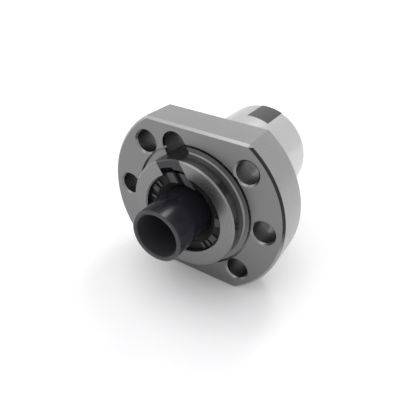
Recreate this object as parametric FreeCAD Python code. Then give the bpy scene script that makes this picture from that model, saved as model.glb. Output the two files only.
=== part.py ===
import FreeCAD, Part
import math
import os

# Flanged ball nut of size 16 with a 5 mm lead, on the plastic sleeve that keeps its balls in.
# Millimetres. +Y runs along the nut from the flange to the far end, +Z is normal to the flange's
# flats, and the origin is on the axis in the flange's mounting face. Angles are counted from +X
# towards +Z, counter-clockwise as seen from the collar.

# Ball track
ball_d = 3.0
lead = 5.0
track_d = 16.0                 # circle through the load balls' centres
track_conformity = 0.54        # each flank's radius, as a share of the ball's diameter
track_contact_gap = 0.03       # between a ball and a flank, at 45 degrees
track_open = 0.4               # how far the track's section reaches inside the land
land_drop = 0.2                # from the balls' centres in to the land between the tracks
load_turns = 6                 # passes of the track under the return channel, ends included
ball_gap = 0.06                # least room between two balls
passes_angle = 420.0           # how much track beside a deflector its balls are kept clear of
passes_overlap = 3.0           # how far that stretch runs on past the lift
circuit_step = 0.1             # degrees between points of the ball circuit
turn_steps = 1000
channel_steps = 2500
spread_rounds = 12

# Return channel
channel_angle = 94.6           # where the channel lies round the nut
channel_rise = 3.7             # from the load balls' centres out to the channel's
channel_clear = 0.1            # round a ball
channel_wall = 0.7             # from the channel to the body's outer face
lift_angle = 26.6              # before the channel, where a ball leaves the track
lift_run = 2.9                 # from there to the pocket's floor, along the axis
lift_reach = 3.3               # how firmly the path keeps the track's direction
turn_reach = 3.0               # how firmly it keeps the channel's direction
turn_end = 0.5                 # how far behind the pocket's floor the turn ends
track_run_out = 1.0            # how far the track runs on into each seal seat

# Nut body, with a collar as thick as the body
body_l = 30.0
body_chamfer = 0.8
relief_w = 1.2
relief_depth = 0.3
collar_l = 4.5
collar_chamfer = 0.35
collar_fillet = 0.5            # at the collar's foot
face_groove_gap = 1.4          # from the collar to the groove in the flange's face
face_groove_w = 0.6
face_groove_depth = 1.0

# Flange, with its bolt circle halfway between the body and the rim
flange_rim = 10.0              # from the body out to the rim
flats = 40.0
flange_t = 10.0
front_chamfer = 0.6
rear_chamfer = 0.3
bolt_hole_d = 5.5
bolt_hole_chamfer = 0.45
bolt_angles = (0, 45, 135, 180, 225, 315)

# Lubrication port in the lower flat, as wide as its thread's outer diameter
lube_thread_d = 6.0
lube_thread_depth = 8.0
lube_drill_d = 2.5

# Pockets for the deflectors, one milled into each end
pocket_side = 1.5              # from a ball's way through the pocket to the pocket's side
pocket_lean = 29.4             # centre line's turn away from the channel's direction
pocket_shift = 1.84            # from the centre line to the channel's centre
pocket_reach = 1.5             # from the body's outer face to the centre of the round end

# Deflectors
pocket_fit = 0.05              # between a deflector and its pocket
deflector_sleeve_gap = 0.17
deflector_tail = 2.0           # where its tongue starts, along the pocket
deflector_flush = 0.02         # below the body's outer face
brow_h = 1.9                   # height of the band that shows at the end
brow_step = 0.5                # how much higher it is on its right side
brow_step_side = 0.5           # from the pocket's centre line to that side
recess_depth = 3.0
brow_chamfer = 0.4

# Seals, each a hard holder with a soft lip; angles count the channel as straight up
seat_depth = 4.6
seat_chamfer = 0.3
seat_fit = 0.05
seal_recess = 1.6              # below the end face
holder_wall = 2.15
lip_wall = 1.48
lip_fit = 0.02
key_edges = ((-2.9, -1.8), (-1.65, -0.8), (0.9, 2.7))   # across the pocket, from its centre line
key_heights = (0.5, 0.8, 0.8)  # above the seal's face
key_base = 0.6                 # below it
key_reach = 0.35               # beyond the seat, into the pocket
ramp_angles = (36.5, 50.0, 67.0)   # the ramp that guides the thread's start
ramp_widths = (1.35, 0.65, 0.25)   # from the holder's outer face, at those angles
ramp_height = 1.45
ribs = ((137, 0.6), (149, 1.5), (165, 0.6), (0, 2.2), (-33, 2.0), (-46, 0.7), (-57, 0.7))
rib_height = 0.35
rib_margin = 0.3
lip_face_drop = 0.2
lip_slope = 1.2
lip_land = 0.9
lip_back = 0.5

# Sleeve and its retaining ring
sleeve_ball_gap = 0.05
sleeve_wall = 1.15
sleeve_front_l = 10.0          # in front of the collar
sleeve_rear_l = 5.0            # behind the body
sleeve_chamfer = 0.3
sleeve_gap = 0.07              # round the sleeve, inside a seal lip
ring_cord_d = 2.0
ring_sink = 0.5                # depth of its groove in the sleeve
ring_fit = 0.05
ring_stop_gap = 0.3            # from the rear seal

# Worked out from the sizes above
front_y = -flange_t - collar_l
rear_y = body_l
middle_y = (front_y + rear_y) / 2
ball_r = ball_d / 2
tunnel_r = ball_r + channel_clear
track_r = track_d / 2
land_r = track_r - land_drop
channel_r = track_r + channel_rise
body_r = channel_r + tunnel_r + channel_wall
flange_r = body_r + flange_rim
bolt_circle_r = (body_r + flange_r) / 2
load_angle = 180.0 * load_turns - lift_angle
floor_y = middle_y - lead * load_angle / 360 + lift_run
pocket_w = 2 * (tunnel_r + pocket_side)
pocket_offset = channel_r * math.sin(math.radians(pocket_lean)) - pocket_shift
pocket_end = body_r + pocket_reach
sleeve_r = track_r - ball_r - sleeve_ball_gap
lip_r = sleeve_r + sleeve_gap
holder_inner_r = lip_r + lip_wall
holder_r = holder_inner_r + holder_wall
seat_r = holder_r + seat_fit
seat_y = front_y + seat_depth
seal_y = front_y + seal_recess
edge_search = 0.001            # how near an edge has to be to where it is looked for
origin = FreeCAD.Vector(0, 0, 0)
axis = FreeCAD.Vector(0, 1, 0)


def at(radius, angle, y):
    turn = math.radians(angle)
    return FreeCAD.Vector(radius * math.cos(turn), y, radius * math.sin(turn))


def turned(points):
    """Revolve a closed outline of (radius, y) points round the nut's axis."""
    outline = [FreeCAD.Vector(radius, y, 0) for radius, y in points]
    wire = Part.makePolygon(outline + outline[:1])
    return Part.Face(wire).revolve(origin, axis, 360)


def tube(outer_r, inner_r, y0, y1):
    return turned([(inner_r, y0), (outer_r, y0), (outer_r, y1), (inner_r, y1)])


def rod(radius, y0, y1, x=0.0, z=0.0):
    return Part.makeCylinder(radius, y1 - y0, FreeCAD.Vector(x, y0, z), axis)


def extruded(edges, length):
    """Pull a closed outline along the axis."""
    return Part.Face(Part.Wire(edges)).extrude(axis * length)


def line(start, end):
    return Part.LineSegment(start, end).toShape()


def arc(start, middle, end):
    return Part.Arc(start, middle, end).toShape()


def turned_round(shape, angle):
    """Turn a shape counter-clockwise, as seen from the collar."""
    copy = shape.copy()
    copy.rotate(origin, axis, -angle)
    return copy


def at_channel(shape):
    """Move a shape drawn with the return channel straight up to where the channel lies."""
    return turned_round(shape, channel_angle - 90)


def other_end(shape):
    """The same shape at the other end: half a turn about the line through the channel's middle."""
    copy = shape.copy()
    copy.rotate(FreeCAD.Vector(0, middle_y, 0), FreeCAD.Vector(0, 0, 1), 180)
    return copy


# Ball circuit, drawn with the channel straight up

def track_point(angle):
    """Centre of a load ball, that many degrees round from the middle of the track."""
    return at(track_r, 90 + angle, middle_y - lead * angle / 360)


def along_track(section, start, end):
    """Sweep a section, drawn in the XZ plane at (track_r, 0, 0), along a stretch of the track."""
    height = lead * (end - start) / 360
    spine = Part.Wire(Part.makeLongHelix(lead, height, track_r, 0).Edges)
    swept = spine.makePipeShell([section], True, True)
    swept.rotate(origin, FreeCAD.Vector(1, 0, 0), 90)
    swept.rotate(origin, axis, -(90 + start))
    swept.translate(axis * (middle_y - lead * start / 360))
    return swept


def pointed_section():
    """Pointed arch of two flanks, closed by a straight line inside the bore."""
    flank_r = track_conformity * ball_d
    shift = (flank_r - ball_r - track_contact_gap) / math.sqrt(2)
    tip = math.sqrt(flank_r ** 2 - shift ** 2) - shift
    inside = land_drop + track_open
    half = math.sqrt(flank_r ** 2 - (shift - inside) ** 2) - shift
    middle = flank_r / math.sqrt(2) - shift
    corner_a = FreeCAD.Vector(track_r - inside, 0, -half)
    corner_b = FreeCAD.Vector(track_r - inside, 0, half)
    peak = FreeCAD.Vector(track_r + tip, 0, 0)
    flank_a = arc(corner_a, FreeCAD.Vector(track_r + middle, 0, -middle), peak)
    flank_b = arc(peak, FreeCAD.Vector(track_r + middle, 0, middle), corner_b)
    return Part.Wire([flank_a, flank_b, line(corner_b, corner_a)])


def ball_track():
    end_angle = 360 * (middle_y - seat_y + track_run_out) / lead
    return along_track(pointed_section(), -end_angle, end_angle)


def turn_curve():
    """Path of a ball's centre from the front end of the track up into the channel."""
    start = track_point(load_angle)
    heading = (start - track_point(load_angle - 0.1)).normalize()
    end = FreeCAD.Vector(0, floor_y + turn_end, channel_r)
    curve = Part.BezierCurve()
    curve.setPoles([start, start + heading * lift_reach, end - axis * turn_reach, end])
    return curve


def front_turn():
    """Space that a ball sweeps while the front deflector lifts it."""
    edge = turn_curve().toShape()
    start = edge.valueAt(edge.FirstParameter)
    heading = edge.tangentAt(edge.FirstParameter)
    section = Part.Wire(Part.makeCircle(tunnel_r, start, heading))
    return Part.Wire(edge).makePipeShell([section], True, True)


def last_passes():
    """Space that the balls sweep in the last turns of track before the front deflector."""
    section = Part.Wire(Part.makeCircle(tunnel_r, FreeCAD.Vector(track_r, 0, 0), axis))
    return along_track(section, load_angle - passes_angle, load_angle + passes_overlap)


def channel():
    start = floor_y + turn_end
    return rod(tunnel_r, start, 2 * middle_y - start, 0, channel_r)


def circuit():
    """Points close together all round the ball circuit, each with the name of its stretch."""
    points = []
    steps = int(2 * load_angle / circuit_step)
    for i in range(steps):
        angle = load_angle - 2 * load_angle * i / steps
        turn = int((load_angle - angle) / 360) + 1
        points.append((track_point(angle), "load_balls_turn_%d" % turn))
    curve = turn_curve()
    lift = [curve.value(i / turn_steps) for i in range(turn_steps + 1)]
    for point in lift:
        points.append((other_point(point), "rear_turn_balls"))
    start = floor_y + turn_end
    straight = 2 * (middle_y - start)
    for i in range(1, channel_steps):
        y = 2 * middle_y - start - straight * i / channel_steps
        points.append((FreeCAD.Vector(0, y, channel_r), "return_balls"))
    for point in reversed(lift):
        points.append((point, "front_turn_balls"))
    return points


def other_point(point):
    return FreeCAD.Vector(-point.x, 2 * middle_y - point.y, point.z)


def spaced(points, pitch):
    """Those points of the closed circuit that balls take, one after another, at a pitch."""
    chosen = points[:1]
    for point, name in points:
        if (point - chosen[-1][0]).Length >= pitch:
            chosen.append((point, name))
    return chosen[:-1] if (chosen[-1][0] - chosen[0][0]).Length < pitch else chosen


def balls():
    """All the balls, spread evenly, by the stretch of the circuit that they are in."""
    points = circuit()
    low = ball_d + ball_gap
    count = len(spaced(points, low))
    high = low * (count + 1) / count
    for _ in range(spread_rounds):
        pitch = (low + high) / 2
        if len(spaced(points, pitch)) == count:
            low = pitch
        else:
            high = pitch
    groups = {}
    for point, name in spaced(points, low):
        groups.setdefault(name, []).append(Part.makeSphere(ball_r, point))
    return groups


# Pocket and deflector, drawn with the channel straight up

def across_pocket(along, across, y):
    """A point from its distances along the front pocket's centre line and across from the axis."""
    turn = math.radians(90 + pocket_lean)
    x = along * math.cos(turn) + across * math.sin(turn)
    z = along * math.sin(turn) - across * math.cos(turn)
    return FreeCAD.Vector(x, y, z)


def pocket_block(start, low, high, y0, y1):
    """A straight block in the pocket, between two distances across it."""
    end = 2 * body_r
    corners = [(start, low), (end, low), (end, high), (start, high)]
    points = [across_pocket(along, across, y0) for along, across in corners]
    wire = Part.makePolygon(points + points[:1])
    return Part.Face(wire).extrude(axis * (y1 - y0))


def front_pocket():
    """Slot with a round end, milled from the end face."""
    low = pocket_offset - pocket_w / 2
    high = pocket_offset + pocket_w / 2
    y0 = front_y - 1
    tip = across_pocket(pocket_end + pocket_w / 2, pocket_offset, y0)
    edges = [
        line(across_pocket(0, low, y0), across_pocket(pocket_end, low, y0)),
        arc(across_pocket(pocket_end, low, y0), tip, across_pocket(pocket_end, high, y0)),
        line(across_pocket(pocket_end, high, y0), across_pocket(0, high, y0)),
        line(across_pocket(0, high, y0), across_pocket(0, low, y0)),
    ]
    return extruded(edges, floor_y - y0)


def front_deflector():
    """Moulding that fills the pocket and lifts the balls from the track into the channel."""
    low = pocket_offset - pocket_w / 2 + pocket_fit
    high = pocket_offset + pocket_w / 2 - pocket_fit
    y0 = front_y + pocket_fit
    y1 = floor_y - pocket_fit
    inner_r = sleeve_r + deflector_sleeve_gap
    outer_r = body_r - deflector_flush
    outline = [
        (inner_r, y0), (outer_r - brow_chamfer, y0), (outer_r, y0 + brow_chamfer),
        (outer_r, y1), (inner_r, y1),
    ]
    block = pocket_block(deflector_tail, low, high, y0, y1).common(turned(outline))
    recess_y = front_y + recess_depth
    brow_r = body_r - brow_h
    low_side = pocket_block(0, low - 1, pocket_offset + brow_step_side, front_y, recess_y)
    cuts = [
        rod(seat_r + seat_fit, front_y, seat_y + seat_fit),
        rod(brow_r, front_y, recess_y).common(low_side),
        rod(brow_r - brow_step, front_y, recess_y),
        front_turn(),
        last_passes(),
        channel(),
    ]
    for cut in cuts:
        block = block.cut(cut)
    return block


# Seal, drawn at the front end with the channel straight up

def seal_ramp():
    """Raised segment whose inner edge widens, so that the thread's start finds its way in."""
    y0 = seal_y - ramp_height
    inner = [at(holder_r - width, angle, y0) for width, angle in zip(ramp_widths, ramp_angles)]
    outer = [at(holder_r, angle, y0) for angle in ramp_angles]
    edges = [arc(*inner), line(inner[2], outer[2]), arc(*reversed(outer)), line(outer[0], inner[0])]
    return extruded(edges, ramp_height)


def seal_rib(angle, width):
    length = holder_wall - 2 * rib_margin
    corner = FreeCAD.Vector(holder_inner_r + rib_margin, seal_y - rib_height, -width / 2)
    return turned_round(Part.makeBox(length, rib_height, width, corner), angle)


def front_seal_holder():
    """Hard ring in the seal seat, with keys that reach into the pocket."""
    ring = tube(holder_r, holder_inner_r, seal_y, seat_y - seat_fit)
    pieces = [seal_ramp()]
    for (low, high), height in zip(key_edges, key_heights):
        y0 = seal_y - height
        block = pocket_block(0, pocket_offset + low, pocket_offset + high, y0, seal_y + key_base)
        pieces.append(block.common(tube(seat_r + key_reach, holder_inner_r, y0, seal_y + key_base)))
    for angle, width in ribs:
        pieces.append(seal_rib(angle, width))
    return ring.multiFuse(pieces).removeSplitter()


def front_seal_lip():
    """Soft ring inside the holder, with a cone that leads to the lip."""
    outer_r = holder_inner_r - lip_fit
    face_y = seal_y + lip_face_drop
    back_y = seat_y - seat_fit
    return turned([
        (outer_r, face_y), (outer_r, back_y), (lip_r + lip_back, back_y),
        (lip_r, face_y + lip_slope + lip_land), (lip_r, face_y + lip_slope),
    ])


# Nut body

def bolt_hole(angle):
    centre = at(bolt_circle_r, angle, 0)
    radius = bolt_hole_d / 2
    wide = radius + bolt_hole_chamfer
    hole = rod(radius, -flange_t, 0, centre.x, centre.z)
    front = Part.makeCone(wide, radius, bolt_hole_chamfer, centre - axis * flange_t, axis)
    rear = Part.makeCone(wide, radius, bolt_hole_chamfer, centre, -axis)
    return hole.multiFuse([front, rear])


def flange():
    """Disc with two flats, broken edges and bolt holes."""
    half = flats / 2
    corner_x = math.sqrt(flange_r ** 2 - half ** 2)
    y0 = -flange_t
    corners = [(corner_x, -half), (corner_x, half), (-corner_x, half), (-corner_x, -half)]
    right_low, right_high, left_high, left_low = [FreeCAD.Vector(x, y0, z) for x, z in corners]
    edges = [
        arc(right_low, FreeCAD.Vector(flange_r, y0, 0), right_high),
        line(right_high, left_high),
        arc(left_high, FreeCAD.Vector(-flange_r, y0, 0), left_low),
        line(left_low, right_low),
    ]
    plate = extruded(edges, flange_t)
    for y, size in ((-flange_t, front_chamfer), (0, rear_chamfer)):
        rim = [edge for edge in plate.Edges if edge.BoundBox.YLength < size / 2
               and abs(edge.CenterOfMass.y - y) < size / 2]
        plate = plate.makeChamfer(size, rim)
    for angle in bolt_angles:
        plate = plate.cut(bolt_hole(angle))
    return plate


def barrel():
    """Collar and body round the axis, with the relief behind the flange."""
    return turned([
        (land_r, front_y), (body_r - collar_chamfer, front_y),
        (body_r, front_y + collar_chamfer), (body_r, 0),
        (body_r - relief_depth, 0), (body_r - relief_depth, relief_w - relief_depth),
        (body_r, relief_w), (body_r, rear_y - body_chamfer),
        (body_r - body_chamfer, rear_y), (land_r, rear_y),
    ])


def seal_seat():
    """Counterbore with a broken edge at the collar's end."""
    return turned([
        (0, front_y - 1), (seat_r + seat_chamfer + 1, front_y - 1), (seat_r, front_y + seat_chamfer),
        (seat_r, seat_y), (0, seat_y),
    ])


def lube_port():
    """Tapped hole in the lower flat with a drilled way on to the ball track."""
    down = FreeCAD.Vector(0, -flange_t / 2, -flats / 2)
    up = FreeCAD.Vector(0, 0, 1)
    tapped = Part.makeCylinder(lube_thread_d / 2, lube_thread_depth, down, up)
    drilled = Part.makeCylinder(lube_drill_d / 2, flats / 2 - land_r / 2, down, up)
    return tapped.fuse(drilled)


def round_edges(shape, radius, y):
    """Edges that run round the nut's axis at a radius and a height."""
    found = []
    for edge in shape.Edges:
        point = edge.valueAt(edge.FirstParameter)
        off = max(edge.BoundBox.YLength, abs(point.y - y), abs(math.hypot(point.x, point.z) - radius))
        if off < edge_search:
            found.append(edge)
    return found


def blank():
    """Flange, collar and body, with a fillet at the collar's foot and a groove round it."""
    shape = flange().fuse(barrel())
    shape = shape.makeFillet(collar_fillet, round_edges(shape, body_r, -flange_t))
    groove_r = body_r + face_groove_gap
    return shape.cut(tube(groove_r + face_groove_w, groove_r, -flange_t, face_groove_depth - flange_t))


def nut_body():
    body = blank().cut(rod(land_r, front_y, rear_y))
    body = body.cut(lube_port())
    ends = [seal_seat(), front_pocket(), front_turn()]
    for cut in ends:
        body = body.cut(at_channel(cut)).cut(at_channel(other_end(cut)))
    body = body.cut(at_channel(channel()))
    return body.cut(at_channel(ball_track()))


# Sleeve and retaining ring

def ring_centre_y():
    return rear_y - seal_recess + ring_stop_gap + ring_cord_d / 2


def ring_centre_r():
    return sleeve_r - ring_sink + ring_fit + ring_cord_d / 2


def mounting_sleeve():
    outer_r = sleeve_r
    inner_r = sleeve_r - sleeve_wall
    y0 = front_y - sleeve_front_l
    y1 = rear_y + sleeve_rear_l
    break_y = sleeve_chamfer
    wall = turned([
        (inner_r, y0 + break_y), (inner_r + break_y, y0), (outer_r - break_y, y0), (outer_r, y0 + break_y),
        (outer_r, y1 - break_y), (outer_r - break_y, y1), (inner_r + break_y, y1), (inner_r, y1 - break_y),
    ])
    groove_r = ring_cord_d / 2 + ring_fit
    return wall.cut(Part.makeTorus(ring_centre_r(), groove_r, axis * ring_centre_y(), axis))


def retaining_ring():
    return Part.makeTorus(ring_centre_r(), ring_cord_d / 2, axis * ring_centre_y(), axis)


def save(name, solids):
    """Write one node, as one solid or a group of separate solids."""
    shape = solids[0] if len(solids) == 1 else Part.makeCompound(solids)
    shape.exportStep("parts/%s.step" % name)
    print(name, len(solids), round(sum(solid.Volume for solid in solids), 1), shape.isValid())


os.makedirs("parts", exist_ok=True)
save("nut_body", nut_body().Solids)
for piece in (front_deflector, front_seal_holder, front_seal_lip):
    shape = piece()
    save(piece.__name__, at_channel(shape).Solids)
    save(piece.__name__.replace("front", "rear"), at_channel(other_end(shape)).Solids)
for node, group in balls().items():
    save(node, [at_channel(ball) for ball in group])
save("mounting_sleeve", mounting_sleeve().Solids)
save("retaining_ring", retaining_ring().Solids)
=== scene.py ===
import math
from collections import namedtuple

import bmesh
import bpy
from mathutils import Matrix, Vector

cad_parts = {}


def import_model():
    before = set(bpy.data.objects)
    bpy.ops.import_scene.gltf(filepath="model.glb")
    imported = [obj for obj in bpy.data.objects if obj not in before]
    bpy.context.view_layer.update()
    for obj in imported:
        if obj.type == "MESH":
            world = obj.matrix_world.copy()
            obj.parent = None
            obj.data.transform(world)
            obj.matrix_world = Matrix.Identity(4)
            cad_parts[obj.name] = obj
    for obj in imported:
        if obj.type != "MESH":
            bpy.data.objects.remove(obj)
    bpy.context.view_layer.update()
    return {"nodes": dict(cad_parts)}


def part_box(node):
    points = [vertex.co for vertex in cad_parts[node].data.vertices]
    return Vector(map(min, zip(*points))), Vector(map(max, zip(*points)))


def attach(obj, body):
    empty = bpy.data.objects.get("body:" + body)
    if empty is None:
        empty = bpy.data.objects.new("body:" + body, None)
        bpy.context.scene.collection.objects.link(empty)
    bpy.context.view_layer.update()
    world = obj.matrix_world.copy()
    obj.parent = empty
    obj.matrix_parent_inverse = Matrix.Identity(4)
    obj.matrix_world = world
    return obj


# Looks of a flanged ball nut on its mounting sleeve. Metres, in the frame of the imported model:
# +Y runs along the nut from the flange to the far end, and +Z is normal to the flange's flats.

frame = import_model()

MM = 0.001

# A colour, with the shares of it that its darkest and lightest patches have
Tone = namedtuple("Tone", "colour darkest lightest")

# A moulding's fine grain: how many to the metre, how deep, and what it adds to the roughness
Grain = namedtuple("Grain", "scale depth rough")

# Camera, as worked out from the photograph
CAMERA_PLACE = Vector((0.0441688, -0.0797857, 0.0548460))
CAMERA_RIGHT = Vector((0.85611, 0.51477, 0.04570))
CAMERA_DOWN = Vector((0.32053, -0.45953, -0.82830))
LENS = 34.926
SENSOR_WIDTH = 36.0
NEAR_CLIP = 5.0 * MM

# Soft round lamps that point at the part: place, size and watts
LAMPS = {
    "back": ((-0.08, 0.64, 0.80), 0.3, 1.6),
    "front": ((-0.2, -0.55, 0.75), 0.6, 0.8),
    "left": ((-0.75, 0.05, 0.5), 0.8, 1.2),
    "right": ((0.75, 0.25, 0.45), 0.8, 1.0),
}

# Surroundings: what the camera and reflections see, and what lights the part
WHITE = (1.0, 1.0, 1.0, 1.0)
AMBIENT = (0.76, 0.76, 0.77, 1.0)

# Surface that the nut stands on, with a faint light of its own away from the part
FLOOR_GAP = 0.02 * MM
FLOOR_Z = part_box("nut_body")[0].z - FLOOR_GAP
FLOOR_R = 3.0
FLOOR_SIDES = 96
FLOOR_TONE = Tone((0.93, 0.93, 0.935), 0.995, 1.003)
FLOOR_ROUGH = 0.85
FLOOR_GLOW = 0.18
GLOW_MIDDLE = (6.0 * MM, -5.0 * MM)
GLOW_RANGE = (12.0 * MM, 27.0 * MM)     # from its middle to where it starts, and to where it is full

# Flange, with bolt holes and a pocket whose steel stays as it was drilled and milled, with painted shade
# in the holes and painted light in the pocket
FLANGE_Y = -10.0 * MM
FLANGE_R = 24.0 * MM
FLAT_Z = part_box("nut_body")[1].z
FRONT_CHAMFER = 0.6 * MM
COLLAR_R = 14.0 * MM
BOLT_CIRCLE_R = 19.0 * MM
BOLT_ANGLES = (0.0, 45.0)       # degrees, of the holes in the quarter that the others mirror
BOLT_HOLE_R = 2.75 * MM
GROOVE_R = 15.7 * MM
GROOVE_HALF_W = 0.31 * MM
POCKET_ANGLE = 124.0            # degrees from +X towards +Z
POCKET_OFFSET = 3.9 * MM        # from the axis to the pocket's centre line
POCKET_HALF_W = 3.1 * MM

# Where one finish of the steel, or its painted shade, light, highlight and dark reflection, turns into
# another: the start and the end of each change
TO_FLATS = (FLAT_Z - 0.1 * MM, FLAT_Z - 0.04 * MM)
TO_FLAT_CHAMFERS = (FLAT_Z - FRONT_CHAMFER, FLAT_Z - 0.9 * FRONT_CHAMFER)
TO_RIM = (FLANGE_R - FRONT_CHAMFER, FLANGE_R - 0.9 * FRONT_CHAMFER)
TO_GROUND_BODY = (0.2 * MM, 0.4 * MM)
PAST_FRONT_FACE = (FLANGE_Y + 0.05 * MM, FLANGE_Y + 0.1 * MM)
PAST_FRONT_CHAMFER = (FLANGE_Y + 0.9 * FRONT_CHAMFER, FLANGE_Y + FRONT_CHAMFER)
PAST_COLLAR = (COLLAR_R + 0.05 * MM, COLLAR_R + 0.1 * MM)
INTO_HOLES = (FLANGE_Y + 0.5 * MM, FLANGE_Y + 1.5 * MM)
PAST_BOLT_HOLE = (BOLT_HOLE_R + 0.02 * MM, BOLT_HOLE_R + 0.1 * MM)
PAST_POCKET_SIDE = (POCKET_HALF_W + 0.05 * MM, POCKET_HALF_W + 0.15 * MM)
ALONG_POCKET = (8.0 * MM, 9.0 * MM)
PAST_GROOVE_SIDE = (GROOVE_HALF_W, GROOVE_HALF_W + 0.05 * MM)
INTO_GROOVE = (FLANGE_Y + 0.6 * MM, FLANGE_Y + 0.8 * MM)
PAST_GROOVE = (FLANGE_Y + 1.05 * MM, FLANGE_Y + 1.1 * MM)
DARK_REFLECTION_X = (-14.0 * MM, 0.0)     # painted dark reflection, on the upper edge towards +X alone
DARK_REFLECTION_Z = (-4.0 * MM, 2.0 * MM)

# Steel, by how it was finished, and the colours of its painted shade, light, highlight and dark reflection
TURNED_STEEL = Tone((0.214, 0.212, 0.212), 0.95, 1.05)
SIDE_STEEL = Tone((0.303, 0.302, 0.302), 0.97, 1.03)
GROUND_STEEL = Tone((0.512, 0.512, 0.512), 0.96, 1.04)
# Drilled steel with its drill rings, made darker as painted shade inside the bolt holes
DRILLED_STEEL_PAINTED_SHADE = Tone((0.11, 0.109, 0.109), 0.75, 1.4)
# Milled steel, made lighter as painted light inside the pocket
MILLED_STEEL_PAINTED_LIGHT = Tone((0.36, 0.36, 0.362), 0.85, 1.15)
# Painted dark reflection on the rim's front chamfer, on its upper side towards +X
PAINTED_DARK_REFLECTION_STEEL = (0.035, 0.035, 0.035, 1.0)
# Painted highlight on the front chamfers along the flats
PAINTED_HIGHLIGHT_STEEL = (0.385, 0.385, 0.385, 1.0)
# Painted shade at the bottom of the groove round the collar
GROOVE_STEEL_PAINTED_SHADE = (0.17, 0.17, 0.17, 1.0)
STEEL_RELIEF = 0.0007 * MM

# Tool marks: the distance between them, and how fast they change along their line as a share of across it
TURNED_PITCH = 0.22 * MM
LINED_PITCH = 0.2 * MM
DRILLED_PITCH = 0.45 * MM
MARKS_STRETCH = 0.02
NOISE_RANGE = (0.3, 0.7)        # holds most of what a noise gives
DRILLED_RANGE = (0.35, 0.65)

# Roughness of the steel
MARKS_ROUGH = (0.265, 0.285)    # between the marks' lows and highs
CLOUDS_ROUGH = (-0.012, 0.012)  # added by the clouds
FACED_ROUGH = 0.12              # added on the flange's front
HOLE_ROUGH = 0.42               # of the drilled holes and the milled pocket

# Balls
BALL_STEEL = Tone((0.72, 0.72, 0.73), 0.95, 1.04)
BALL_ROUGH = (0.08, 0.16)

# Seal holders, alike at both ends: places are distances from the nut's middle
NUT_MIDDLE_Y = 7.75 * MM
SEAL_FACE = 20.65 * MM
SEAL_PROUD = (SEAL_FACE + 0.1 * MM, SEAL_FACE + 0.2 * MM)
SEAL_RAMP = (SEAL_FACE + 0.9 * MM, SEAL_FACE + 1.0 * MM)
SEAL_MATT = Tone((0.006, 0.006, 0.007), 0.85, 1.15)
# Painted highlight on the ribs and keys that stand proud of the face
SEAL_RIB_PAINTED_HIGHLIGHT = Tone((0.075, 0.077, 0.080), 0.7, 1.2)
SEAL_GRAIN = Grain(5000.0, 0.003 * MM, (-0.04, 0.04))
SEAL_MATT_ROUGH = 0.5
SEAL_RIB_ROUGH = 0.26
SEAL_SPECULAR = 0.25

# Deflectors: radius and distance from the nut's middle add up to the same all over their broken edge
DEFLECTOR_R = 13.98 * MM
DEFLECTOR_END = 22.2 * MM
DEFLECTOR_BREAK = 0.4 * MM
DEFLECTOR_EDGE = DEFLECTOR_R + DEFLECTOR_END - DEFLECTOR_BREAK
TO_DEFLECTOR_EDGE = (DEFLECTOR_EDGE - 0.05 * MM, DEFLECTOR_EDGE - 0.02 * MM)
DEFLECTOR_BLACK = Tone((0.022, 0.0232, 0.026), 0.85, 1.18)
# Painted highlight along the deflector's broken edge
DEFLECTOR_PAINTED_HIGHLIGHT = Tone((0.034, 0.035, 0.037), 0.8, 1.2)
DEFLECTOR_GRAIN = Grain(4000.0, 0.002 * MM, (-0.04, 0.05))
DEFLECTOR_ROUGH = 0.26
DEFLECTOR_SPECULAR = 0.4

# Mounting sleeve, with its finishes outside, in the bore, whose lighter colour is painted light, and on
# the cut ends
SLEEVE_BORE_R = 5.3 * MM
SLEEVE_CHAMFER = 0.3 * MM
PAST_SLEEVE_BORE = (SLEEVE_BORE_R + 0.02 * MM, SLEEVE_BORE_R + 0.1 * MM)
PAST_SLEEVE_CUT = (0.8 * SLEEVE_CHAMFER, SLEEVE_CHAMFER)
SLEEVE_BLACK = Tone((0.0135, 0.0128, 0.0170), 0.85, 1.18)
# Painted light in the sleeve's bore
SLEEVE_BORE_PAINTED_LIGHT = Tone((0.046, 0.045, 0.051), 0.85, 1.18)
SLEEVE_CUT = Tone((0.053, 0.0517, 0.0565), 0.9, 1.1)
SLEEVE_GRAIN = Grain(5000.0, 0.001 * MM, (-0.04, 0.05))
SLEEVE_ROUGH = 0.22
SLEEVE_BORE_ROUGH = 0.5
SLEEVE_SPECULAR = 0.28

# Rubber of the seal lips and the retaining ring
RUBBER_BLACK = Tone((0.012, 0.012, 0.013), 0.85, 1.18)
RUBBER_GRAIN = Grain(1 / (0.15 * MM), 0.004 * MM, (-0.04, 0.05))
RUBBER_ROUGH = 0.6
RUBBER_SPECULAR = 0.5

# Soft patches of colour, so many to the metre: the plastic's are also the rubber's
STEEL_CLOUDS = 140.0
BALL_CLOUDS = 400.0
SEAL_CLOUDS = 300.0
PLASTIC_CLOUDS = 220.0
FLOOR_CLOUDS = 60.0

# Thread in the lubrication port, which opens in the lower flat
PORT_Y = -5.0 * MM
PORT_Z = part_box("nut_body")[0].z
THREAD_ROOT_R = 3.03 * MM       # a little inside the steel
THREAD_CREST_R = 2.459 * MM
THREAD_PITCH = 1.0 * MM
THREAD_TURNS = 6.6
THREAD_STEPS = 48               # in a turn
THREAD_START = 0.5              # pitches from the flat to the ridge's start
THREAD_RUN_OUT = 0.5            # turns over which the ridge sinks into the wall, at each end
THREAD_LEAST = 0.03             # share of its height that the ridge ends with
THREAD_ROOT_HALF = 0.4375       # half the ridge's width at its root, as a share of the pitch
THREAD_CREST_HALF = 0.125


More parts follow.
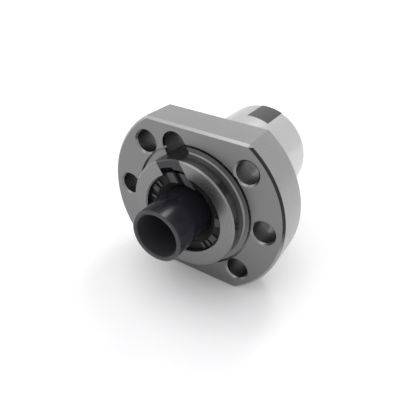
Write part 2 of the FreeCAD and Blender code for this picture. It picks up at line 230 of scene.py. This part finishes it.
class Tree:
    """Short calls for building the nodes of a material or a world."""

    def __init__(self, holder):
        holder.use_nodes = True
        self.holder = holder
        self.nodes = holder.node_tree.nodes
        self.links = holder.node_tree.links
        self.nodes.clear()

    def put(self, socket, value):
        """Link a socket to another, or give it a value of its own."""
        if isinstance(value, bpy.types.NodeSocket):
            self.links.new(value, socket)
        else:
            socket.default_value = value

    def add(self, kind, inputs=None, **settings):
        node = self.nodes.new(kind)
        for key, value in settings.items():
            setattr(node, key, value)
        for key, value in (inputs or {}).items():
            self.put(node.inputs[key], value)
        return node

    def math(self, operation, a, b=0.0):
        return self.add("ShaderNodeMath", {0: a, 1: b}, operation=operation).outputs[0]

    def plus(self, a, b):
        return self.math("ADD", a, b)

    def minus(self, a, b):
        return self.math("SUBTRACT", a, b)

    def times(self, a, b):
        return self.math("MULTIPLY", a, b)

    def smaller(self, a, b):
        return self.math("MINIMUM", a, b)

    def larger(self, a, b):
        return self.math("MAXIMUM", a, b)

    def unsigned(self, a):
        return self.math("ABSOLUTE", a)

    def length(self, a, b):
        squares = self.plus(self.times(a, a), self.times(b, b))
        return self.math("SQRT", squares)

    def coordinates(self):
        """Position in the object's own frame."""
        return self.add("ShaderNodeTexCoord").outputs["Object"]

    def place(self):
        """The same position, as x, y and z."""
        return self.add("ShaderNodeSeparateXYZ", {0: self.coordinates()}).outputs

    def vector(self, x, y, z):
        return self.add("ShaderNodeCombineXYZ", {0: x, 1: y, 2: z}).outputs[0]

    def spread(self, value, low, high, from_low=0.0, from_high=1.0):
        """Map a value from one range to another, without going past its ends."""
        inputs = {"Value": value, "From Min": from_low, "From Max": from_high}
        inputs.update({"To Min": low, "To Max": high})
        return self.add("ShaderNodeMapRange", inputs).outputs[0]

    def rise(self, value, start, end):
        """0 up to the start, 1 past the end, and a slope between them."""
        return self.spread(value, 0.0, 1.0, start, end)

    def fall(self, value, start, end):
        """1 up to the start, 0 past the end, and a slope between them."""
        return self.spread(value, 1.0, 0.0, start, end)

    # A Mix node has sockets for numbers and for colours under the same names, so both calls number them

    def mix(self, factor, a, b):
        """One number or the other, by a factor from 0 to 1."""
        return self.add("ShaderNodeMix", {0: factor, 2: a, 3: b}, data_type="FLOAT").outputs[0]

    def blend(self, factor, a, b):
        """One colour or the other, by a factor from 0 to 1."""
        return self.add("ShaderNodeMix", {0: factor, 6: a, 7: b}, data_type="RGBA").outputs[2]

    def tint(self, tone, factor):
        """A tone's colour, at its darkest where the factor is 0 and at its lightest where it is 1."""
        darkest = tuple(level * tone.darkest for level in tone.colour) + (1.0,)
        lightest = tuple(level * tone.lightest for level in tone.colour) + (1.0,)
        return self.blend(factor, darkest, lightest)

    def noise(self, vector, scale, detail, rough, w=None):
        """Noise from 0 to 1, with w as a fourth coordinate where it is given."""
        inputs = {"Vector": vector, "Scale": scale, "Detail": detail, "Roughness": rough}
        dimensions = "3D"
        if w is not None:
            inputs["W"] = w
            dimensions = "4D"
        return self.add("ShaderNodeTexNoise", inputs, noise_dimensions=dimensions).outputs["Fac"]

    def clouds(self, scale):
        """Soft patches, so many to the metre."""
        return self.noise(self.coordinates(), scale, detail=3.0, rough=0.5)

    def bump(self, height, distance):
        inputs = {"Height": height, "Distance": distance, "Strength": 1.0}
        return self.add("ShaderNodeBump", inputs).outputs[0]

    def finish(self, **inputs):
        """Surface shader with these inputs, whose names have _ for each space."""
        shader = self.add("ShaderNodeBsdfPrincipled")
        for key, value in inputs.items():
            self.put(shader.inputs[key.replace("_", " ")], value)
        self.add("ShaderNodeOutputMaterial", {0: shader.outputs[0]})


def turned_marks(tree, x, y, z):
    """Fine rings round the nut's axis, on faces as on diameters, from 0 to 1."""
    across = 1 / TURNED_PITCH
    along = MARKS_STRETCH / TURNED_PITCH
    vector = tree.vector(tree.times(tree.length(x, z), across), tree.times(x, along), tree.times(z, along))
    return tree.noise(vector, scale=1.0, detail=3.0, rough=0.6, w=tree.times(y, across))


def lined_marks(tree, x, y, z):
    """Fine lines along X, as a grinding wheel leaves on a flat, from 0 to 1."""
    across = 1 / LINED_PITCH
    along = MARKS_STRETCH / LINED_PITCH
    vector = tree.vector(tree.times(x, along), tree.times(y, across), z)
    return tree.noise(vector, scale=1.0, detail=3.0, rough=0.6)


def drill_marks(tree, y):
    """Rings that a drill leaves down a hole, from 0 to 1."""
    vector = tree.vector(0.0, tree.times(y, 1 / DRILLED_PITCH), 0.0)
    rings = tree.noise(vector, scale=1.0, detail=1.0, rough=0.5)
    return tree.rise(rings, *DRILLED_RANGE)


def near_bolt_hole(tree, x, z):
    """1 inside the six bolt holes, by folding them on to those in one quarter."""
    folded_x = tree.unsigned(x)
    folded_z = tree.unsigned(z)
    distances = []
    for angle in BOLT_ANGLES:
        turn = math.radians(angle)
        away_x = tree.minus(folded_x, BOLT_CIRCLE_R * math.cos(turn))
        away_z = tree.minus(folded_z, BOLT_CIRCLE_R * math.sin(turn))
        distances.append(tree.length(away_x, away_z))
    return tree.fall(tree.smaller(*distances), *PAST_BOLT_HOLE)


def in_pocket(tree, x, z):
    """1 between the sides of the front pocket."""
    turn = math.radians(POCKET_ANGLE)
    across = tree.minus(tree.times(x, math.sin(turn)), tree.times(z, math.cos(turn)))
    along = tree.plus(tree.times(x, math.cos(turn)), tree.times(z, math.sin(turn)))
    off = tree.unsigned(tree.minus(across, POCKET_OFFSET))
    return tree.times(tree.fall(off, *PAST_POCKET_SIDE), tree.rise(along, *ALONG_POCKET))


def in_groove(tree, radius, y):
    """1 at the bottom of the groove round the collar, which has painted shade."""
    off = tree.unsigned(tree.minus(radius, GROOVE_R))
    deep = tree.times(tree.rise(y, *INTO_GROOVE), tree.fall(y, *PAST_GROOVE))
    return tree.times(tree.fall(off, *PAST_GROOVE_SIDE), deep)


def from_middle(tree, y):
    """Distance from the nut's middle, along its axis."""
    return tree.unsigned(tree.minus(y, NUT_MIDDLE_Y))


def steel():
    """Bearing steel: turned flange and collar, brighter ground body, holes darker as painted shade, a
    pocket lighter as painted light, and painted highlight, dark reflection and groove shade.
    """
    tree = Tree(bpy.data.materials.new("ground_steel"))
    x, y, z = tree.place()
    radius = tree.length(x, z)
    height = tree.unsigned(z)

    flat = tree.rise(height, *TO_FLATS)
    ground = tree.rise(y, *TO_GROUND_BODY)
    inside = tree.times(tree.rise(y, *INTO_HOLES), tree.minus(1.0, tree.larger(flat, ground)))
    # Painted shade inside the bolt holes
    drilled = tree.times(near_bolt_hole(tree, x, z), inside)
    # Painted light inside the milled pocket
    milled = tree.times(in_pocket(tree, x, z), inside)
    rim = tree.rise(radius, *TO_RIM)
    front_edge = tree.fall(y, *PAST_FRONT_CHAMFER)
    # Painted dark reflection on the rim's front chamfer, on its upper side towards +X
    dark_reflection_side = tree.times(tree.rise(x, *DARK_REFLECTION_X), tree.rise(z, *DARK_REFLECTION_Z))
    dark_reflection = tree.times(tree.times(front_edge, rim), dark_reflection_side)
    # Painted highlight on the front chamfers along the flats
    flat_chamfer_highlight = tree.times(front_edge, tree.rise(height, *TO_FLAT_CHAMFERS))
    faced = tree.times(tree.fall(y, *PAST_FRONT_FACE), tree.rise(radius, *PAST_COLLAR))

    cloud = tree.noise(tree.coordinates(), STEEL_CLOUDS, detail=4.0, rough=0.55)
    colour = tree.blend(ground, tree.tint(TURNED_STEEL, cloud), tree.tint(GROUND_STEEL, cloud))
    colour = tree.blend(tree.larger(flat, rim), colour, tree.tint(SIDE_STEEL, cloud))
    colour = tree.blend(dark_reflection, colour, PAINTED_DARK_REFLECTION_STEEL)
    colour = tree.blend(flat_chamfer_highlight, colour, PAINTED_HIGHLIGHT_STEEL)
    colour = tree.blend(drilled, colour, tree.tint(DRILLED_STEEL_PAINTED_SHADE, drill_marks(tree, y)))
    colour = tree.blend(milled, colour, tree.tint(MILLED_STEEL_PAINTED_LIGHT, cloud))
    # Painted shade at the bottom of the groove
    colour = tree.blend(in_groove(tree, radius, y), colour, GROOVE_STEEL_PAINTED_SHADE)

    marks = tree.mix(flat, turned_marks(tree, x, y, z), lined_marks(tree, x, y, z))
    rough = tree.spread(marks, *MARKS_ROUGH, *NOISE_RANGE)
    rough = tree.plus(rough, tree.spread(cloud, *CLOUDS_ROUGH, *NOISE_RANGE))
    rough = tree.plus(rough, tree.times(faced, FACED_ROUGH))
    rough = tree.mix(tree.larger(milled, drilled), rough, HOLE_ROUGH)
    tree.finish(Base_Color=colour, Metallic=1.0, Roughness=rough, Normal=tree.bump(marks, STEEL_RELIEF))
    return tree.holder


def ball_steel():
    """Polished steel with a faint cloud in its gloss."""
    tree = Tree(bpy.data.materials.new("ball_steel"))
    cloud = tree.clouds(BALL_CLOUDS)
    rough = tree.spread(cloud, *BALL_ROUGH)
    tree.finish(Base_Color=tree.tint(BALL_STEEL, cloud), Metallic=1.0, Roughness=rough)
    return tree.holder


def mould(tree, colour, rough, grain, specular):
    """Finish of a moulding, whose fine grain shows in its gloss and its relief."""
    fine = tree.noise(tree.coordinates(), grain.scale, detail=3.0, rough=0.6)
    rough = tree.plus(rough, tree.spread(fine, *grain.rough))
    relief = tree.bump(fine, grain.depth)
    tree.finish(Base_Color=colour, Roughness=rough, Specular_IOR_Level=specular, Normal=relief)


def deflector_plastic():
    """Dark moulding, with a painted highlight along the broken edge at the nut's end."""
    tree = Tree(bpy.data.materials.new("deflector_plastic"))
    x, y, z = tree.place()
    outward = tree.plus(from_middle(tree, y), tree.length(x, z))
    # Painted highlight along the broken edge
    edge = tree.rise(outward, *TO_DEFLECTOR_EDGE)
    cloud = tree.clouds(PLASTIC_CLOUDS)
    colour = tree.blend(edge, tree.tint(DEFLECTOR_BLACK, cloud), tree.tint(DEFLECTOR_PAINTED_HIGHLIGHT, cloud))
    mould(tree, colour, DEFLECTOR_ROUGH, DEFLECTOR_GRAIN, DEFLECTOR_SPECULAR)
    return tree.holder


def sleeve_plastic():
    """Glossy black moulding, matt where the core of the mould stood, lighter in the bore as painted light,
    and paler on its cut ends.
    """
    tree = Tree(bpy.data.materials.new("sleeve_plastic"))
    x, y, z = tree.place()
    front_y, rear_y = (corner.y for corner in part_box("mounting_sleeve"))
    from_end = tree.smaller(tree.minus(y, front_y), tree.minus(rear_y, y))
    cut = tree.fall(from_end, *PAST_SLEEVE_CUT)
    # Painted light in the bore, which is also matt
    bore = tree.fall(tree.length(x, z), *PAST_SLEEVE_BORE)
    cloud = tree.clouds(PLASTIC_CLOUDS)
    colour = tree.blend(cut, tree.tint(SLEEVE_BLACK, cloud), tree.tint(SLEEVE_CUT, cloud))
    colour = tree.blend(bore, colour, tree.tint(SLEEVE_BORE_PAINTED_LIGHT, cloud))
    rough = tree.mix(bore, SLEEVE_ROUGH, SLEEVE_BORE_ROUGH)
    mould(tree, colour, rough, SLEEVE_GRAIN, SLEEVE_SPECULAR)
    return tree.holder


def seal_plastic():
    """Matt black holder, whose ribs and keys stand proud of its face and have a painted highlight."""
    tree = Tree(bpy.data.materials.new("seal_plastic"))
    x, y, z = tree.place()
    distance = from_middle(tree, y)
    # Painted highlight on the proud ribs and keys
    proud_ribs = tree.minus(tree.rise(distance, *SEAL_PROUD), tree.rise(distance, *SEAL_RAMP))
    cloud = tree.clouds(SEAL_CLOUDS)
    colour = tree.blend(proud_ribs, tree.tint(SEAL_MATT, cloud), tree.tint(SEAL_RIB_PAINTED_HIGHLIGHT, cloud))
    rough = tree.mix(proud_ribs, SEAL_MATT_ROUGH, SEAL_RIB_ROUGH)
    mould(tree, colour, rough, SEAL_GRAIN, SEAL_SPECULAR)
    return tree.holder


def rubber():
    tree = Tree(bpy.data.materials.new("rubber"))
    colour = tree.tint(RUBBER_BLACK, tree.clouds(PLASTIC_CLOUDS))
    mould(tree, colour, RUBBER_ROUGH, RUBBER_GRAIN, RUBBER_SPECULAR)
    return tree.holder


def dress(node, finish):
    """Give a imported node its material."""
    for slot in frame["nodes"][node].material_slots:
        slot.material = finish


def add_object(name, shape, finish):
    """Object of its own from a finished shape, which this frees."""
    mesh = bpy.data.meshes.new(name)
    shape.to_mesh(mesh)
    shape.free()
    mesh.materials.append(finish)
    made = bpy.data.objects.new(name, mesh)
    bpy.context.scene.collection.objects.link(made)
    return made


def thread_section(shape, turn):
    """Corners of the thread's ridge, so many turns from its start."""
    fullness = min(1.0, turn / THREAD_RUN_OUT, (THREAD_TURNS - turn) / THREAD_RUN_OUT)
    fullness = max(THREAD_LEAST, fullness)
    crest_r = THREAD_ROOT_R - fullness * (THREAD_ROOT_R - THREAD_CREST_R)
    outline = ((THREAD_ROOT_R, -THREAD_ROOT_HALF), (crest_r, -THREAD_CREST_HALF),
               (crest_r, THREAD_CREST_HALF), (THREAD_ROOT_R, THREAD_ROOT_HALF))
    angle = 2 * math.pi * turn
    corners = []
    for radius, along in outline:
        place = (radius * math.cos(angle), PORT_Y + radius * math.sin(angle),
                 PORT_Z + THREAD_PITCH * (THREAD_START + turn + along))
        corners.append(shape.verts.new(place))
    return corners


def port_thread(finish):
    """Ridge of the lubrication port's thread, running out into the wall at both ends."""
    shape = bmesh.new()
    steps = int(THREAD_TURNS * THREAD_STEPS)
    sections = [thread_section(shape, step / THREAD_STEPS) for step in range(steps + 1)]
    for here, there in zip(sections, sections[1:]):
        for k in range(len(here)):
            shape.faces.new((here[k], here[k - 1], there[k - 1], there[k]))
    shape.faces.new(sections[0])
    shape.faces.new(reversed(sections[-1]))
    bmesh.ops.recalc_face_normals(shape, faces=shape.faces)
    thread = add_object("lube_port_thread", shape, finish)
    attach(thread, "nut")


def in_view(tree):
    """1 for what the camera sees, straight or in a reflection, and 0 for light on surfaces."""
    path = tree.add("ShaderNodeLightPath").outputs
    mirrored = tree.larger(path["Is Glossy Ray"], path["Is Transmission Ray"])
    return tree.larger(path["Is Camera Ray"], mirrored)


def floor_surface():
    """Pale matt table with a little light of its own away from the part, as a background."""
    tree = Tree(bpy.data.materials.new("floor"))
    x, y = tree.place()[:2]
    away = tree.length(tree.minus(x, GLOW_MIDDLE[0]), tree.minus(y, GLOW_MIDDLE[1]))
    glow = tree.times(in_view(tree), tree.spread(away, 0.0, FLOOR_GLOW, *GLOW_RANGE))
    colour = tree.tint(FLOOR_TONE, tree.clouds(FLOOR_CLOUDS))
    tree.finish(Base_Color=colour, Roughness=FLOOR_ROUGH, Emission_Color=WHITE, Emission_Strength=glow)
    return tree.holder


def floor():
    shape = bmesh.new()
    bmesh.ops.create_circle(shape, cap_ends=True, radius=FLOOR_R, segments=FLOOR_SIDES)
    plane = add_object("floor", shape, floor_surface())
    plane.location.z = FLOOR_Z


def world():
    """White for the camera and for reflections, and a softer level for the light on surfaces."""
    made = bpy.data.worlds.new("studio")
    bpy.context.scene.world = made
    tree = Tree(made)
    colour = tree.blend(in_view(tree), AMBIENT, WHITE)
    background = tree.add("ShaderNodeBackground", {"Color": colour, "Strength": 1.0})
    tree.add("ShaderNodeOutputWorld", {0: background.outputs[0]})


def lamp(name, place, size, watts):
    data = bpy.data.lights.new(name, "AREA")
    data.shape = "DISK"
    data.size = size
    data.energy = watts
    light = bpy.data.objects.new(name, data)
    bpy.context.scene.collection.objects.link(light)
    light.location = place
    light.rotation_euler = (-Vector(place)).to_track_quat("-Z", "Y").to_euler()


def camera():
    data = bpy.data.cameras.new("camera")
    data.sensor_width = SENSOR_WIDTH
    data.lens = LENS
    data.clip_start = NEAR_CLIP
    made = bpy.data.objects.new("camera", data)
    bpy.context.scene.collection.objects.link(made)
    back = CAMERA_RIGHT.cross(-CAMERA_DOWN)
    axes = Matrix((CAMERA_RIGHT, -CAMERA_DOWN, back)).transposed()
    made.matrix_world = Matrix.Translation(CAMERA_PLACE) @ axes.to_4x4()
    bpy.context.scene.camera = made


steel_finish = steel()
deflector_finish = deflector_plastic()
seal_finish = seal_plastic()
sleeve_finish = sleeve_plastic()
rubber_finish = rubber()
ball_finish = ball_steel()

dress("nut_body", steel_finish)
for end in ("front", "rear"):
    dress(end + "_deflector", deflector_finish)
    dress(end + "_seal_holder", seal_finish)
    dress(end + "_seal_lip", rubber_finish)
for node in frame["nodes"]:
    if "balls" in node:
        dress(node, ball_finish)
dress("mounting_sleeve", sleeve_finish)
dress("retaining_ring", rubber_finish)
port_thread(steel_finish)

floor()
world()
for name, (place, size, watts) in LAMPS.items():
    lamp(name, place, size, watts)
camera()
bpy.context.scene.view_settings.view_transform = "Standard"
